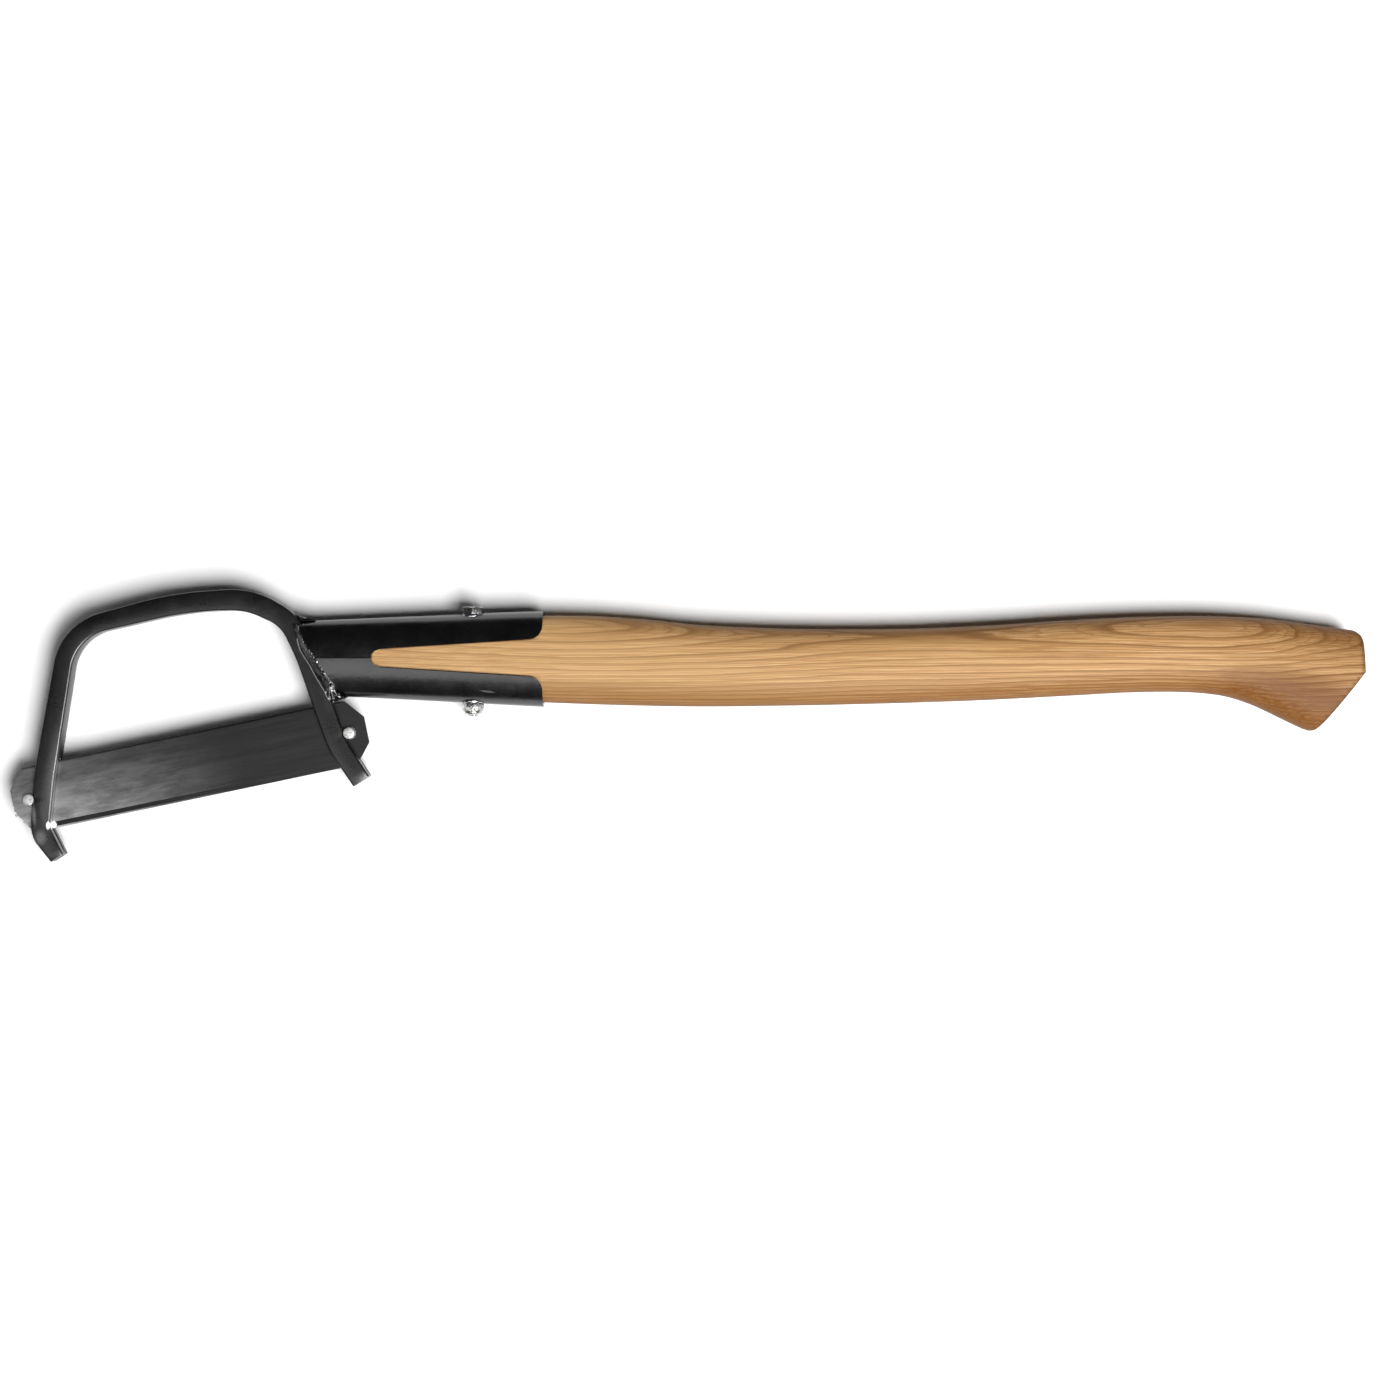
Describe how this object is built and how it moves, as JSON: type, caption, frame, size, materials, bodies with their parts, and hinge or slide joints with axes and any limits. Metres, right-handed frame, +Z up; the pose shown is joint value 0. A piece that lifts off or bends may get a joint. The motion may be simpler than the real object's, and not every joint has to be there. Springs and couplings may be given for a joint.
{
  "type": "brush axe",
  "caption": "Brush axe: a short steel bow holding a wide two-edged clearing blade on slotted arms, welded to a two-shell socket on a curved ash handle.",
  "frame": {"origin": "middle of the underside of the whole tool, lying on its side on a flat surface", "axes": "+X along the handle to its butt, +Y towards the back of the bow, +Z up, square to the flat of the blade"},
  "size_m": [0.6868, 0.1386, 0.0278],
  "materials": {
    "black_powder_coat": "satin black powder coat on steel",
    "coated_weld": "black coat over a rippled weld bead",
    "blade_steel": "dark brushed spring steel with ground edges",
    "pin_steel": "bright cut steel",
    "zinc_plate": "bright zinc plating",
    "insert_nylon": "moulded nylon",
    "ash_wood": "oiled ash with long growth rings"
  },
  "bodies": {
    "tool": {"bow_frame": "black_powder_coat", "blade": "blade_steel", "handle": "ash_wood", "upper_socket_shell": "black_powder_coat", "lower_socket_shell": "black_powder_coat", "front_side_weld": "coated_weld", "back_side_weld": "coated_weld", "upper_weld": "coated_weld", "lower_weld": "coated_weld", "socket_bolt": "zinc_plate", "head_washer": "zinc_plate"},
    "far_pin": {"far_blade_pin": "pin_steel"},
    "near_pin": {"near_blade_pin": "pin_steel"},
    "loose_washer": {"nut_washer": "zinc_plate"},
    "turning_nut": {"lock_nut": "zinc_plate", "nut_insert": "insert_nylon"}
  },
  "joints": [
    {"name": "far_pin_slide", "type": "slide", "parent": "tool", "child": "far_pin", "axis": [0, 0, 1], "range_m": [-0.01, 0.012]},
    {"name": "near_pin_slide", "type": "slide", "parent": "tool", "child": "near_pin", "axis": [0, 0, 1], "range_m": [-0.01, 0.012]},
    {"name": "lock_nut_travel", "type": "slide", "parent": "tool", "child": "loose_washer", "axis": [0, -1, 0], "range_m": [0, 0.007]},
    {"name": "lock_nut_turn", "type": "hinge", "parent": "loose_washer", "child": "turning_nut", "pos_m": [-0.10756, 0.008, 0.01388], "axis": [0, -1, 0], "range_deg": [0, 2525]}
  ],
  "couplings": [
    {"joint": "lock_nut_turn", "follows": "lock_nut_travel", "rad_per_m": 6283.2}
  ]
}
